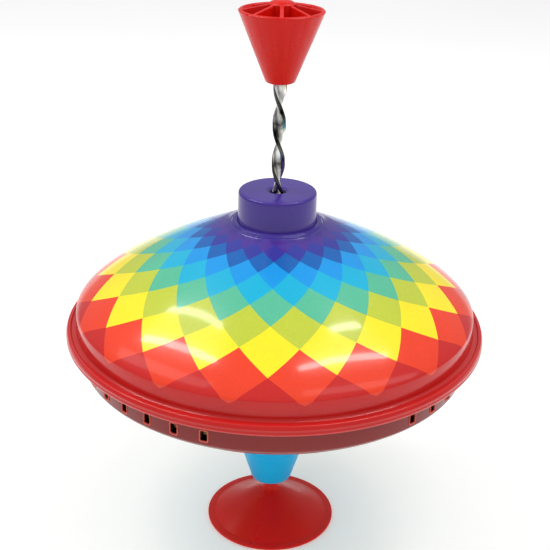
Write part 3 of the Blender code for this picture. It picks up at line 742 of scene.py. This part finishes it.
@dataclass
class TinBody:
    """The two pressed shells, the rolled seam between them and the lips round the sound slots."""

    seam_z: float
    shoulder_z: float
    crest_z: float
    recess_z: float
    corner_z: float
    hub_seat_z: float
    rim_radius: float = 95.0 * MM
    wall_radius: float = 90.0 * MM
    opening_radius: float = 9.6 * MM
    recess_radius: float = 17.6 * MM
    crest_radius: float = 19.0 * MM
    crest_ring_width: float = 3.4 * MM
    dome_power: float = 0.77
    lower_radius: float = 88.0 * MM
    hub_radius: float = 23.0 * MM
    hub_opening: float = 11.0 * MM
    belly_power: float = 0.68
    sheet: float = 0.45 * MM
    sides: int = 288
    slot_start_deg: float = 70.85
    slot_pitch_deg: float = 8.75
    slots_per_group: int = 8
    slot_width: float = 3.5 * MM
    slot_height: float = 5.2 * MM
    slot_drop: float = 9.3 * MM
    slot_corner: float = 0.35 * MM
    cutter_depth: float = 8.0 * MM
    lip_bead: float = 0.42 * MM
    lip_corner: float = 0.7 * MM
    slope_steps: int = 44
    slope_crowding: float = 1.9

    def crown(self, inner: float, outer: float, base: float, rise: float, power: float) -> list[Point]:
        """Give the outline of a shell's sloping part, from its inner edge out to its wall.

        Args:
            inner: radius where the slope starts.
            outer: radius of the wall.
            base: height at the wall.
            rise: height of the slope, negative downwards.
            power: 1 for a cone, less for a fuller shoulder.

        Returns:
            The points.
        """
        points = []
        for step in range(self.slope_steps + 1):
            share = 1.0 - (1.0 - step / self.slope_steps) ** self.slope_crowding
            points.append((inner + (outer - inner) * share, base + rise * (1.0 - share) ** power))
        return points

    def dome_path(self) -> list[Point]:
        """Give the dome's outline: the cap's recess, the embossed ring and the slope.

        Returns:
            The points, from the opening out to the wall.
        """
        start = [(self.opening_radius, self.recess_z, 0.0), (self.recess_radius, self.recess_z, 0.3 * MM),
                 (self.recess_radius, self.crest_z + 0.1 * MM, 0.5 * MM)]
        start += set_at(self.crest_radius, self.crest_z, CREST_RING)
        slope = self.crown(self.crest_radius, self.wall_radius, self.shoulder_z,
                           self.crest_z - self.shoulder_z, self.dome_power)
        ring_edge = self.crest_radius + self.crest_ring_width
        return round_corners(start) + [point for point in slope if point[0] > ring_edge]

    def upper(self, finish: Material) -> Piece:
        """Make the dome with the cap's recess, the embossed ring, the wall and the rolled seam.

        Args:
            finish: its material.

        Returns:
            The piece.
        """
        z = self.seam_z
        dome = self.dome_path()
        wall_foot = z + 6.0 * MM
        wall = [(self.wall_radius, wall_foot, 0.0), (self.wall_radius + 0.1 * MM, z + 2.1 * MM, 1.5 * MM)]
        seam = round_corners(wall + set_at(self.rim_radius, z, ROLLED_SEAM))
        wall_inside = self.wall_radius - self.sheet
        roof = [(wall_inside, wall_foot, 0.0), (wall_inside, z + 1.5 * MM, 1.0 * MM)]
        roof = round_corners(roof + set_at(self.rim_radius, z, SEAM_INSIDE))
        inner = offset_path(dome, -self.sheet)
        outline = dome + seam + roof[::-1] + inner[::-1]
        return turned_piece("printed_dome", outline, self.sides, finish)

    def slot_angles(self) -> list[float]:
        """Return the angle of every sound slot, in radians from +X."""
        return [math.radians(self.slot_start_deg + group * 120.0 + index * self.slot_pitch_deg)
                for group in range(3) for index in range(self.slots_per_group)]

    def lower(self, finish: Material) -> Piece:
        """Make the slotted wall and the belly.

        Args:
            finish: its material.

        Returns:
            The piece.
        """
        z = self.seam_z
        belly = self.crown(self.hub_radius, self.lower_radius, -self.corner_z,
                           self.corner_z - self.hub_seat_z, self.belly_power)
        outer = [(self.hub_opening, self.hub_seat_z)] + [(radius, -height) for radius, height in belly]
        outer += round_corners((
            (self.lower_radius, z - 5.0 * MM, 0.0), (self.lower_radius, z - 1.2 * MM, 1.2 * MM),
            (self.rim_radius - 0.9 * MM, z - 1.1 * MM, 0.0)))
        inner = offset_path(outer, self.sheet)
        shell = turned_piece("slotted_belly", outer + inner[::-1], self.sides, finish)
        self.cut_slots(shell, finish)
        return shell

    def cut_slots(self, shell: Piece, finish: Material) -> None:
        """Cut the sound slots out of the lower shell.

        Args:
            shell: the lower shell.
            finish: its material, for the cut faces too.
        """
        maker = bmesh.new()
        size = Matrix.Diagonal((self.cutter_depth, self.slot_width, self.slot_height, 1.0))
        middle = Matrix.Translation((self.lower_radius, 0.0, self.seam_z - self.slot_drop))
        for angle in self.slot_angles():
            spot = Matrix.Rotation(angle, 4, "Z") @ middle
            bmesh.ops.create_cube(maker, size=1.0, matrix=spot @ size)
        corners = [edge for edge in maker.edges
                   if abs(edge.verts[0].co.z - edge.verts[1].co.z) < MERGE
                   and edge.calc_length() > self.cutter_depth - 1.0 * MM]
        bmesh.ops.bevel(maker, geom=corners, offset=self.slot_corner, segments=3, affect="EDGES")
        cutter = piece_from("slot_cutter", maker, finish)
        boolean = shell.modifiers.new("slots", "BOOLEAN")
        boolean.operation = "DIFFERENCE"
        boolean.object = cutter
        bpy.context.view_layer.update()
        graph = bpy.context.evaluated_depsgraph_get()
        cut_mesh = bpy.data.meshes.new_from_object(shell.evaluated_get(graph))
        shell.modifiers.clear()
        shell.data = cut_mesh
        cut_mesh.set_sharp_from_angle(angle=math.radians(SHARP_DEG))
        bpy.data.objects.remove(cutter, do_unlink=True)

    def lip_path(self) -> list[Point]:
        """Give the rounded rectangle that a slot's lip follows.

        Returns:
            Distance across and up from the slot's middle, of each point.
        """
        points = []
        corner_steps = 4
        half_width = self.slot_width / 2 - self.lip_corner
        half_height = self.slot_height / 2 - self.lip_corner
        for side_x, side_z, start in ((1, 1, 0), (-1, 1, 90), (-1, -1, 180), (1, -1, 270)):
            for step in range(corner_steps + 1):
                turn = math.radians(start + 90.0 / corner_steps * step)
                points.append((side_x * half_width + self.lip_corner * math.cos(turn),
                               side_z * half_height + self.lip_corner * math.sin(turn)))
        return points

    def slot_lips(self, finish: Material) -> Piece:
        """Make the rounded lips pressed round the edges of the slots.

        Args:
            finish: their material.

        Returns:
            One piece with all the lips.
        """
        maker = bmesh.new()
        middle_z = self.seam_z - self.slot_drop
        bead_sides = 8
        bead_rise = self.lip_bead * 1.1
        sink = 0.1 * MM
        path = self.lip_path()
        for angle in self.slot_angles():
            sections = []
            for across, up in path:
                direction = Vector((across, up)).normalized()
                section = []
                for step in range(bead_sides):
                    turn = math.tau * step / bead_sides
                    away = self.lip_bead * math.cos(turn)
                    around = angle + (across + direction.x * away) / self.lower_radius
                    radius = self.lower_radius - sink + bead_rise * math.sin(turn)
                    height = middle_z + up + direction.y * away
                    section.append(round_axis(radius, around, height))
                sections.append(section)
            skin(maker, sections, True, True)
        return piece_from("slot_lips", maker, finish)

    def build(self) -> None:
        """Make and dress the shells."""
        print_finish = LozengePrint("lozenge_print", self.shoulder_z).make()
        belly_finish = BellyPrint("belly_print", self.lower_radius, self.hub_radius).make()
        place(self.upper(print_finish), Body.TOP, "upper_print", "upper_shell")
        place(self.lower(belly_finish), Body.TOP, "lower_print", "lower_shell")
        # The lips wear the painted highlight colour.
        place(self.slot_lips(LIP_PAINTED_HIGHLIGHT.make()), Body.TOP, "lower_print")


# ---- Cap, hub and foot ------------------------------------------------------


@dataclass
class TowerCap:
    """Purple moulded cap over the clutch, with a foot bead and a countersunk hole for the rod."""

    base_z: float
    top_z: float
    radius: float = 17.4 * MM
    skirt: float = 17.55 * MM
    skirt_height: float = 2.9 * MM
    wall: float = 1.6 * MM
    roof: float = 2.0 * MM
    hole_radius: float = 3.5 * MM
    countersink: float = 1.4 * MM
    sides: int = 160

    def build(self) -> None:
        """Make and dress the cap."""
        inside = self.radius - self.wall
        skirt_top = self.base_z + self.skirt_height
        outer = round_corners((
            (inside, self.base_z, 0.0), (self.skirt, self.base_z, 0.3 * MM),
            (self.skirt, skirt_top, 0.3 * MM), (self.radius, skirt_top + 0.5 * MM, 0.3 * MM),
            (self.radius - 0.1 * MM, self.top_z, 1.6 * MM),
            (self.hole_radius + self.countersink, self.top_z - 0.15 * MM, 0.5 * MM),
            (self.hole_radius, self.top_z - 0.9 * MM, 0.4 * MM),
            (self.hole_radius, self.top_z - self.roof, 0.0)), 7)
        outline = outer + [(inside, self.top_z - self.roof)]
        cap = turned_piece("purple_cap", outline, self.sides, PURPLE_CAP.make())
        place(cap, Body.TOP, "cap_purple", "tower_cap")


@dataclass
class Hub:
    """Blue moulded cone that hangs under the belly, with a raised band round its middle."""

    bottom_z: float
    top_z: float
    post_top_z: float
    bottom_radius: float = 9.5 * MM
    top_radius: float = 22.9 * MM
    wall: float = 1.8 * MM
    mouth_radius: float = 4.4 * MM
    post_radius: float = 10.6 * MM
    bore_radius: float = 7.2 * MM
    socket_radius: float = 6.0 * MM
    # Heights above the cone's lower end.
    mouth_rise: float = 4.5 * MM
    hollow_rise: float = 13.4 * MM
    band_rise: float = 17.6 * MM
    bore_rise: float = 32.0 * MM
    band_height: float = 1.6 * MM
    band_ridge: float = 0.28 * MM
    sides: int = 144

    def radius_at(self, height: float) -> float:
        """Return the cone's outer radius at a height."""
        share = (height - self.bottom_z) / (self.top_z - self.bottom_z)
        return self.bottom_radius + (self.top_radius - self.bottom_radius) * share

    def build(self) -> None:
        """Make and dress the hub."""
        band_z = self.bottom_z + self.band_rise
        band_top = band_z + self.band_height
        under_band = self.radius_at(band_z)
        over_band = band_top + 0.8 * MM
        hollow_z = self.bottom_z + self.hollow_rise
        bore_z = self.bottom_z + self.bore_rise
        mouth_z = self.bottom_z + self.mouth_rise
        outline = round_corners((
            (self.mouth_radius, self.bottom_z + 4.0 * MM, 0.0), (self.mouth_radius, self.bottom_z, 0.4 * MM),
            (self.bottom_radius, self.bottom_z, 1.6 * MM), (under_band, band_z, 0.15 * MM),
            (under_band + self.band_ridge, band_z + 0.2 * MM, 0.15 * MM),
            (self.radius_at(band_top) + self.band_ridge, band_top, 0.15 * MM),
            (self.radius_at(over_band), over_band, 0.15 * MM),
            (self.top_radius, self.top_z, 0.3 * MM), (self.top_radius - self.wall, self.top_z, 0.2 * MM),
            (self.post_radius + 1.2 * MM, hollow_z, 0.4 * MM), (self.post_radius, hollow_z, 0.4 * MM),
            (self.post_radius, self.post_top_z, 0.4 * MM), (self.bore_radius, self.post_top_z, 0.3 * MM),
            (self.bore_radius, bore_z, 0.2 * MM), (self.socket_radius, bore_z, 0.2 * MM),
            (self.socket_radius, mouth_z, 0.2 * MM), (self.mouth_radius, mouth_z, 0.0)), 6)
        hub = turned_piece("blue_hub", outline, self.sides, BLUE_HUB.make())
        place(hub, Body.TOP, "hub_blue", "lower_hub")


@dataclass
class Foot:
    """Red round foot with a flat lip, a slightly dished cone, a neck and a hollow underside."""

    neck_top_z: float
    radius: float = 31.0 * MM
    lip_width: float = 3.4 * MM
    lip: float = 1.3 * MM
    neck_radius: float = 3.4 * MM
    neck_z: float = 16.0 * MM
    neck_fillet: float = 4.2 * MM
    hollow: float = 10.0 * MM
    hollow_radius: float = 7.4 * MM
    pin_hole_radius: float = 1.8 * MM
    pin_hole_floor: float = 11.7 * MM
    dish: float = 0.485
    sides: int = 176

    def build(self) -> None:
        """Make and dress the foot."""
        cone_foot = self.radius - self.lip_width
        cone_middle = (cone_foot + self.neck_radius) * 0.5
        outline = round_corners((
            (0.0, self.hollow, 0.0), (self.hollow_radius, self.hollow, 1.5 * MM),
            (self.radius - 4.0 * MM, 0.0, 0.5 * MM), (self.radius, 0.0, 0.4 * MM),
            (self.radius, self.lip, 0.45 * MM), (cone_foot, self.lip + 0.15 * MM, 1.0 * MM),
            (cone_middle, self.lip + (self.neck_z - self.lip) * self.dish, 14.0 * MM),
            (self.neck_radius, self.neck_z, self.neck_fillet), (self.neck_radius, self.neck_top_z, 0.4 * MM),
            (self.pin_hole_radius, self.neck_top_z, 0.2 * MM),
            (self.pin_hole_radius, self.pin_hole_floor, 0.0), (0.0, self.pin_hole_floor, 0.0)), 8)
        foot = turned_piece("red_foot", outline, self.sides, RED_FOOT.make())
        place(foot, Body.FOOT, "foot_red", "suction_foot")


# ---- Pump -------------------------------------------------------------------


@dataclass
class Rod:
    """Flat steel strip with rounded edges and hollowed faces, twisted left-handed."""

    bottom_z: float
    top_z: float
    width: float = 5.8 * MM
    thick: float = 2.3 * MM
    lead: float = 34.4 * MM
    edge_on_z: float = 209.35 * MM
    hollow: float = 0.28 * MM
    # Share of the width from the middle to where the hollow ends.
    hollow_reach: float = 0.36
    # Powers of the rounded section: 1 for an ellipse, less for squarer.
    edge_power: float = 0.62
    face_power: float = 0.5
    section_points: int = 32
    rings_per_turn: int = 90

    def section(self) -> list[Point]:
        """Give the strip's cross-section, broad along the first axis.

        Returns:
            The points round the section.
        """
        points = []
        for index in range(self.section_points):
            turn = math.tau * index / self.section_points
            cosine = math.cos(turn)
            sine = math.sin(turn)
            x = self.width / 2 * math.copysign(abs(cosine) ** self.edge_power, cosine)
            y = self.thick / 2 * math.copysign(abs(sine) ** self.face_power, sine)
            dish = self.hollow * max(0.0, 1.0 - (x / (self.width * self.hollow_reach)) ** 2)
            points.append((x, y - math.copysign(dish, y) if abs(y) > dish else y))
        return points

    def build(self) -> None:
        """Make and dress the rod."""
        maker = bmesh.new()
        length = self.top_z - self.bottom_z
        steps = round(length / self.lead * self.rings_per_turn)
        outline = self.section()
        sections = []
        for step in range(steps + 1):
            height = self.bottom_z + length * step / steps
            angle = math.pi / 2 - math.tau * (height - self.edge_on_z) / self.lead
            turn = Matrix.Rotation(angle, 3, "Z")
            sections.append([turn @ Vector((x, y, 0.0)) + Vector((0.0, 0.0, height)) for x, y in outline])
        rows = skin(maker, sections, True, False)
        maker.faces.new(rows[0])
        maker.faces.new(rows[-1])
        steel = TwistedSteel("rod_twisted_steel", self.width, self.lead, self.edge_on_z)
        rod = piece_from("twisted_rod", maker, steel.make(), sharp_deg=60.0)
        place(rod, Body.PLUNGER, "rod_steel", "spindle_rod")


# How far the handle's boss rises over its rim.
BOSS_RISE = 4.0 * MM
# A rib and the pocket after it: half rib widths aside from the middle, share of the way to the
# next rib, whether the station is on a rib, and millimetres down for the rounded edge.
RIB_STATIONS: tuple[tuple[float, float, bool, float], ...] = (
    (0.0, 0.0, True, 0.0), (0.55, 0.0, True, 0.03), (0.9, 0.0, True, 0.18), (1.0, 0.0, True, 0.5),
    (1.12, 0.0, False, 0.0), (1.12, 0.25, False, 0.0), (1.12, 0.5, False, 0.0),
    (1.12, 0.75, False, 0.0), (1.12, 1.0, False, 0.0), (1.0, 1.0, True, 0.5),
    (0.9, 1.0, True, 0.18), (0.55, 1.0, True, 0.03))


@dataclass
class Handle:
    """Red moulded cone with eight ribs that rise from the rim to a domed boss."""

    bottom_z: float
    rim_z: float
    top_radius: float = 18.0 * MM
    bottom_radius: float = 6.2 * MM
    wall: float = 1.6 * MM
    boss_radius: float = 5.6 * MM
    boss_rise: float = BOSS_RISE
    ribs: int = 8
    rib_thick: float = 1.6 * MM
    pocket: float = 20.0 * MM
    rod_hole: float = 3.6 * MM
    rod_hole_depth: float = 3.0 * MM

    def radius_at(self, height: float) -> float:
        """Return the cone's outer radius at a height."""
        share = (height - self.bottom_z) / (self.rim_z - self.bottom_z)
        return self.bottom_radius + (self.top_radius - self.bottom_radius) * share

    def profile(self, on_rib: bool, drop: float) -> list[Point]:
        """Give the inside of the handle, from the boss out over the rim.

        Args:
            on_rib: whether the profile runs along a rib's crest or down a pocket.
            drop: how far a rib's crest is lowered, for its rounded edge.

        Returns:
            Radius and height of each point.
        """
        top = self.rim_z + self.boss_rise
        dome = [(0.9 * MM, top), (2.2 * MM, top - 0.12 * MM), (3.6 * MM, top - 0.4 * MM),
                (4.8 * MM, top - 0.95 * MM), (self.boss_radius, top - 1.7 * MM)]
        lip = self.top_radius - self.wall
        foot = self.rim_z - self.pocket
        if on_rib:
            start = top - 1.9 * MM - drop
            fall = self.rim_z - 0.35 * MM - drop - start
            run = lip - self.boss_radius
            inner = [(self.boss_radius + run * share, start + fall * share)
                     for share in (0.05, 0.35, 0.65, 0.97)]
        else:
            floor_radius = self.radius_at(foot) - self.wall
            middle_z = self.rim_z - self.pocket * 0.45
            inner = [(self.boss_radius + 0.1 * MM, foot), (self.boss_radius + 0.9 * MM, foot - 0.05 * MM),
                     (floor_radius, foot), (self.radius_at(middle_z) - self.wall, middle_z)]
        rim = [(lip, self.rim_z - 0.35 * MM), (lip + 0.3 * MM, self.rim_z - 0.05 * MM),
               (lip + 0.8 * MM, self.rim_z), (self.top_radius - 0.35 * MM, self.rim_z - 0.1 * MM),
               (self.top_radius, self.rim_z - 0.5 * MM)]
        return dome + inner + rim

    def build(self) -> None:
        """Make and dress the handle."""
        outside = round_corners((
            (self.top_radius - 0.2 * MM, self.rim_z - 1.0 * MM, 0.0),
            (self.bottom_radius, self.bottom_z, 1.2 * MM), (self.rod_hole, self.bottom_z, 0.3 * MM),
            (self.rod_hole, self.bottom_z + self.rod_hole_depth, 0.0)), 8)
        pitch = math.tau / self.ribs
        half = self.rib_thick / 2
        sections = []
        for rib in range(self.ribs):
            middle = rib * pitch - math.pi / 2
            for index, (side, share, on_rib, drop) in enumerate(RIB_STATIONS):
                section = []
                for radius, height in self.profile(on_rib, drop * MM):
                    spread = math.asin(min(1.0, side * half / max(radius, self.boss_radius)))
                    turn = middle + spread * (1.0 - 2.0 * share) + share * pitch
                    section.append(round_axis(radius, turn, height))
                turn = middle + pitch * index / len(RIB_STATIONS)
                section += [round_axis(radius, turn, height) for radius, height in outside]
                sections.append(section)
        maker = bmesh.new()
        rows = skin(maker, sections, False, True)
        maker.faces.new([row[0] for row in rows])
        maker.faces.new([row[-1] for row in rows])
        handle = piece_from("ribbed_handle", maker, RED_HANDLE.make(), sharp_deg=40.0)
        place(handle, Body.PLUNGER, "handle_red", "handle")


# ---- Inner pieces kept from the frame ---------------------------------------


@dataclass
class InnerPieces:
    """Pieces that keep their frame shape and only get their finish."""

    nodes: dict[str, Piece]

    def dress(self, finish: Callable[[], Material], *names: str) -> None:
        """Give nodes one finish.

        Args:
            finish: makes the material.
            *names: starts of the nodes' names.
        """
        material = finish()
        for name, node in self.nodes.items():
            if name.startswith(names):
                for slot in node.material_slots:
                    slot.material = material
                LOG.info("%s keeps its shape, in %s", name, material.name)

    def build(self) -> None:
        """Dress every inner piece."""
        self.dress(WHITE_INNER.make, "spindle_slider", "drive_nut")
        self.dress(PLAIN_STEEL.make, "slider_pin", "clutch_seat", "tower_lock_ring", "guide_tube",
                   "hub_lock_ring", "thrust_cup", "pin_clip", "pivot_pin")
        self.dress(DARK_STEEL.make, "reed_plate")
        # Brass darkened as painted shade.
        self.dress(BRASS.make, "reed_comb", "reed_rivet", "pivot_bush")


# ---- Studio -----------------------------------------------------------------


@dataclass(frozen=True)
class Strip:
    """Soft strip lamp between two ends, with its width and its power in watts."""

    name: str
    start: Spot
    end: Spot
    width: float
    power: float

    def hang(self, aim: Vector) -> None:
        """Hang the lamp so that it faces a point.

        Args:
            aim: the point.
        """
        along = Vector(self.end) - Vector(self.start)
        middle = (Vector(self.end) + Vector(self.start)) / 2
        data = bpy.data.lights.new(self.name, "AREA")
        data.shape = "RECTANGLE"
        data.size = self.width
        data.size_y = along.length
        data.energy = self.power
        back = (middle - aim).normalized()
        side = along.cross(back).normalized()
        lamp = bpy.data.objects.new(self.name, data)
        turn = Matrix((side, back.cross(side), back)).transposed().to_4x4()
        lamp.matrix_world = Matrix.Translation(middle) @ turn
        bpy.context.scene.collection.objects.link(lamp)


STRIPS = (
    Strip("tube_left_back", (-0.694, 0.442, 1.017), (-0.377, 0.111, 1.268), width=0.035, power=1.3),
    Strip("tube_left_front", (-0.834, 0.314, 0.959), (-0.415, -0.138, 1.259), width=0.055, power=3.0),
    Strip("tube_right_back", (0.398, 0.114, 1.26), (0.588, 0.262, 1.151), width=0.035, power=0.8),
    Strip("tube_right_front", (0.185, -0.235, 1.303), (0.763, 0.12, 1.069), width=0.055, power=3.0),
    Strip("box_left", (-1.00, 0.23, 0.74), (-0.51, -0.49, 1.09), width=0.20, power=1.1),
    Strip("box_right", (0.25, -0.64, 1.10), (1.06, -0.09, 0.68), width=0.20, power=1.1))


@dataclass
class Studio:
    """Pale floor, soft strip lamps, surroundings that brighten upwards, and the camera."""

    aim_z: float
    distance: float = 505.3 * MM
    elevation_deg: float = 26.72
    pitch_deg: float = 24.27
    yaw_deg: float = -0.04
    roll_deg: float = 1.34
    lens: float = 71.38
    sensor: float = 36.0
    floor_half: float = 3.0
    floor_gap: float = 0.2 * MM
    horizon: float = 0.36
    zenith: float = 0.78

    def floor(self) -> None:
        """Lay a wide pale floor just under the foot."""
        maker = bmesh.new()
        bmesh.ops.create_grid(maker, x_segments=8, y_segments=8, size=self.floor_half)
        graph = Graph("studio_floor")
        tone = graph.between(graph.noise(scale=2.0, detail=2.0), low=0.90, high=0.93)
        graph.feed(graph.shader.inputs["Base Color"], graph.grey(tone))
        graph.shader.inputs["Roughness"].default_value = 0.8
        graph.shader.inputs["Specular IOR Level"].default_value = 0.1
        graph.shader.inputs["Emission Color"].default_value = (1.0, 1.0, 1.0, 1.0)
        graph.shader.inputs["Emission Strength"].default_value = 0.2
        floor = piece_from("studio_floor", maker, graph.material)
        floor.location.z = -self.floor_gap

    def camera(self) -> None:
        """Set the camera up."""
        elevation = math.radians(self.elevation_deg)
        pitch = math.radians(self.pitch_deg)
        yaw = math.radians(self.yaw_deg)
        roll = math.radians(self.roll_deg)
        back = -self.distance * math.cos(elevation)
        spot = Vector((0.0, back, self.aim_z + self.distance * math.sin(elevation)))
        level = math.cos(pitch)
        forward = Vector((math.sin(yaw) * level, math.cos(yaw) * level, -math.sin(pitch)))
        right = Vector((math.cos(yaw), -math.sin(yaw), 0.0))
        up = right.cross(forward)
        level_right = right * math.cos(roll) + up * math.sin(roll)
        level_up = up * math.cos(roll) - right * math.sin(roll)
        turn = Matrix((level_right, level_up, -forward)).transposed().to_4x4()
        data = bpy.data.cameras.new("camera")
        data.lens = self.lens
        data.sensor_width = self.sensor
        data.clip_start = 0.01
        camera = bpy.data.objects.new("camera", data)
        camera.matrix_world = Matrix.Translation(spot) @ turn
        bpy.context.scene.collection.objects.link(camera)
        bpy.context.scene.camera = camera

    def surroundings(self) -> None:
        """Light the world, brighter overhead than at the horizon."""
        world = bpy.data.worlds.new("studio")
        world.use_nodes = True
        nodes = world.node_tree.nodes
        links = world.node_tree.links
        background = nodes["Background"]
        background.inputs["Color"].default_value = (1.0, 1.0, 1.0, 1.0)
        split = nodes.new("ShaderNodeSeparateXYZ")
        links.new(nodes.new("ShaderNodeTexCoord").outputs["Generated"], split.inputs[0])
        level = nodes.new("ShaderNodeMapRange")
        links.new(split.outputs["Z"], level.inputs["Value"])
        limits = (("From Min", 0.05), ("From Max", 0.75), ("To Min", self.horizon), ("To Max", self.zenith))
        for name, number in limits:
            level.inputs[name].default_value = number
        links.new(level.outputs[0], background.inputs["Strength"])
        bpy.context.scene.world = world
        bpy.context.scene.view_settings.view_transform = "Standard"

    def build(self) -> None:
        """Set up the camera, the floor, the lamps and the surroundings."""
        self.camera()
        self.floor()
        for strip in STRIPS:
            strip.hang(Vector((0.0, 0.0, self.aim_z)))
        self.surroundings()


# Where the pressed shells' features lie, from the seam's middle and from the crest.
SEAM_RISE = 2.0 * MM
SHOULDER_RISE = 10.5 * MM
RECESS_DROP = 3.0 * MM
CORNER_DROP = 13.0 * MM
# The hub's top edge lies this far under the belly.
HUB_GAP = 0.3 * MM


def main(frame: dict) -> None:
    """Build every sub-assembly round the frame, in order.
    """
    logging.basicConfig(level=logging.INFO, format="%(message)s")
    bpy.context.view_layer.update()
    upper_low, upper_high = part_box("upper_shell")
    lower_low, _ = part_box("lower_shell")
    cap_low, cap_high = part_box("tower_cap")
    hub_low, hub_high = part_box("lower_hub")
    handle_low, handle_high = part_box("handle")
    rod_low, rod_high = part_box("spindle_rod")
    _, foot_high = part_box("suction_foot")
    seam_z = upper_low.z + SEAM_RISE
    crest_z = upper_high.z
    Studio(seam_z).build()
    Foot(foot_high.z).build()
    Hub(hub_low.z, lower_low.z - HUB_GAP, hub_high.z).build()
    TinBody(seam_z, seam_z + SHOULDER_RISE, crest_z, crest_z - RECESS_DROP,
            seam_z - CORNER_DROP, lower_low.z).build()
    TowerCap(cap_low.z, cap_high.z).build()
    Rod(rod_low.z, rod_high.z).build()
    Handle(handle_low.z, handle_high.z - BOSS_RISE).build()
    InnerPieces(frame["nodes"]).build()


if __name__ == "__main__":
    main(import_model())
